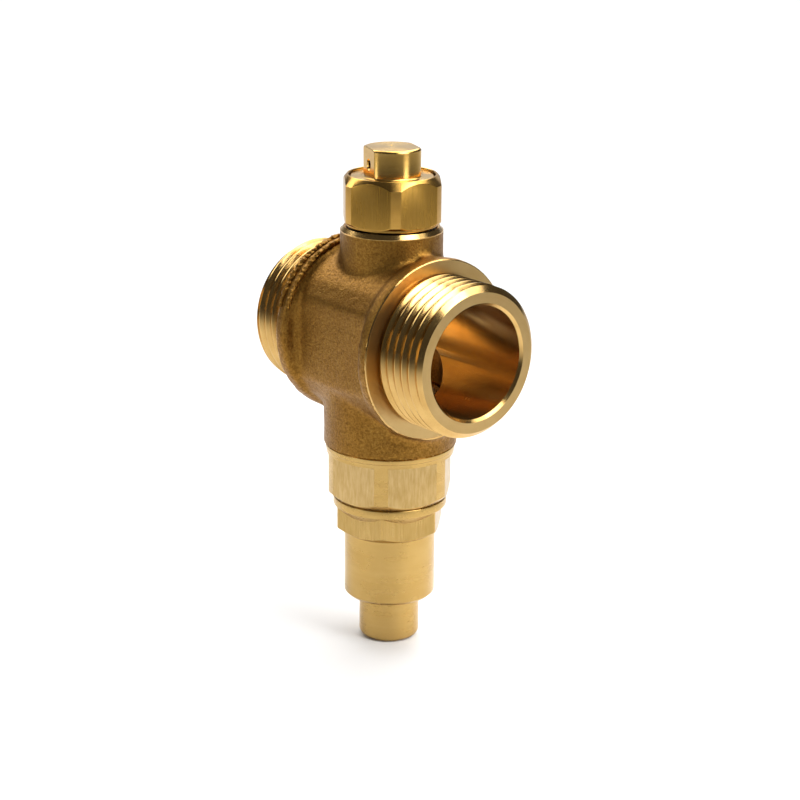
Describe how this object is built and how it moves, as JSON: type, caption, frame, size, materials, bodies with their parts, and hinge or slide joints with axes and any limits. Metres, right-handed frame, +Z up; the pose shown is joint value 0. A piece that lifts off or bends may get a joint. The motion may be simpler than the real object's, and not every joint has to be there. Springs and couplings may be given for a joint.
{
  "type": "antifreeze drain valve",
  "caption": "In-line brass antifreeze valve: threaded ports either side, vacuum breaker on top, shut-off housing and thermostatic drain cartridge below.",
  "frame": {"origin": "centre of the drain nozzle's foot, on the surface the valve stands on", "axes": "+Z up along the cartridge and vacuum breaker, X along the two pipe ports, Y across the flanges"},
  "size_m": [0.0576, 0.0398, 0.1121],
  "materials": {
    "forged_brass": "shot-blasted forging with turned ports",
    "nut_brass": "satin, turned from hexagon bar",
    "cap_brass": "fine turned",
    "turned_brass": "satin turned",
    "capsule_copper": "drawn copper",
    "spring_steel": "drawn stainless wire",
    "plate_steel": "stamped stainless sheet",
    "seal_rubber": "moulded EPDM"
  },
  "bodies": {
    "valve": {"valve_body": "forged_brass", "vent_housing": "nut_brass", "vent_housing_seal": "seal_rubber", "vent_cap": "cap_brass", "vent_cap_seal": "seal_rubber", "vent_spring": "spring_steel", "vent_spring_retainer": "plate_steel", "shutoff_housing": "turned_brass", "shutoff_housing_seal": "seal_rubber", "shutoff_poppet": "turned_brass", "shutoff_poppet_seal": "seal_rubber", "shutoff_spring": "spring_steel", "shutoff_spring_retainer": "plate_steel", "cartridge_body": "turned_brass", "cartridge_face_seal": "seal_rubber", "cartridge_ring_seal": "seal_rubber", "shutter_return_spring": "spring_steel", "overtravel_spring": "spring_steel", "capsule_guide": "turned_brass", "guide_retaining_ring": "plate_steel"},
    "breather": {"vent_poppet": "turned_brass", "vent_poppet_seal": "seal_rubber"},
    "shutter": {"drain_shutter": "turned_brass", "drain_shutter_seal": "seal_rubber", "wax_piston": "plate_steel"},
    "capsule": {"wax_capsule": "capsule_copper"}
  },
  "joints": [
    {"name": "breather_lift", "type": "slide", "parent": "valve", "child": "breather", "axis": [0, 0, -1], "range_m": [0, 0.0025], "stiffness_N_per_m": 60, "springref_m": -0.004, "deforming": ["vent_spring"]},
    {"name": "shutter_lift", "type": "slide", "parent": "valve", "child": "shutter", "axis": [0, 0, 1], "range_m": [0, 0.0025], "stiffness_N_per_m": 200, "springref_m": -0.003, "deforming": ["shutter_return_spring"]},
    {"name": "capsule_overtravel", "type": "slide", "parent": "valve", "child": "capsule", "axis": [0, 0, 1], "range_m": [0, 0.0015], "stiffness_N_per_m": 800, "springref_m": -0.002, "deforming": ["overtravel_spring"]}
  ]
}
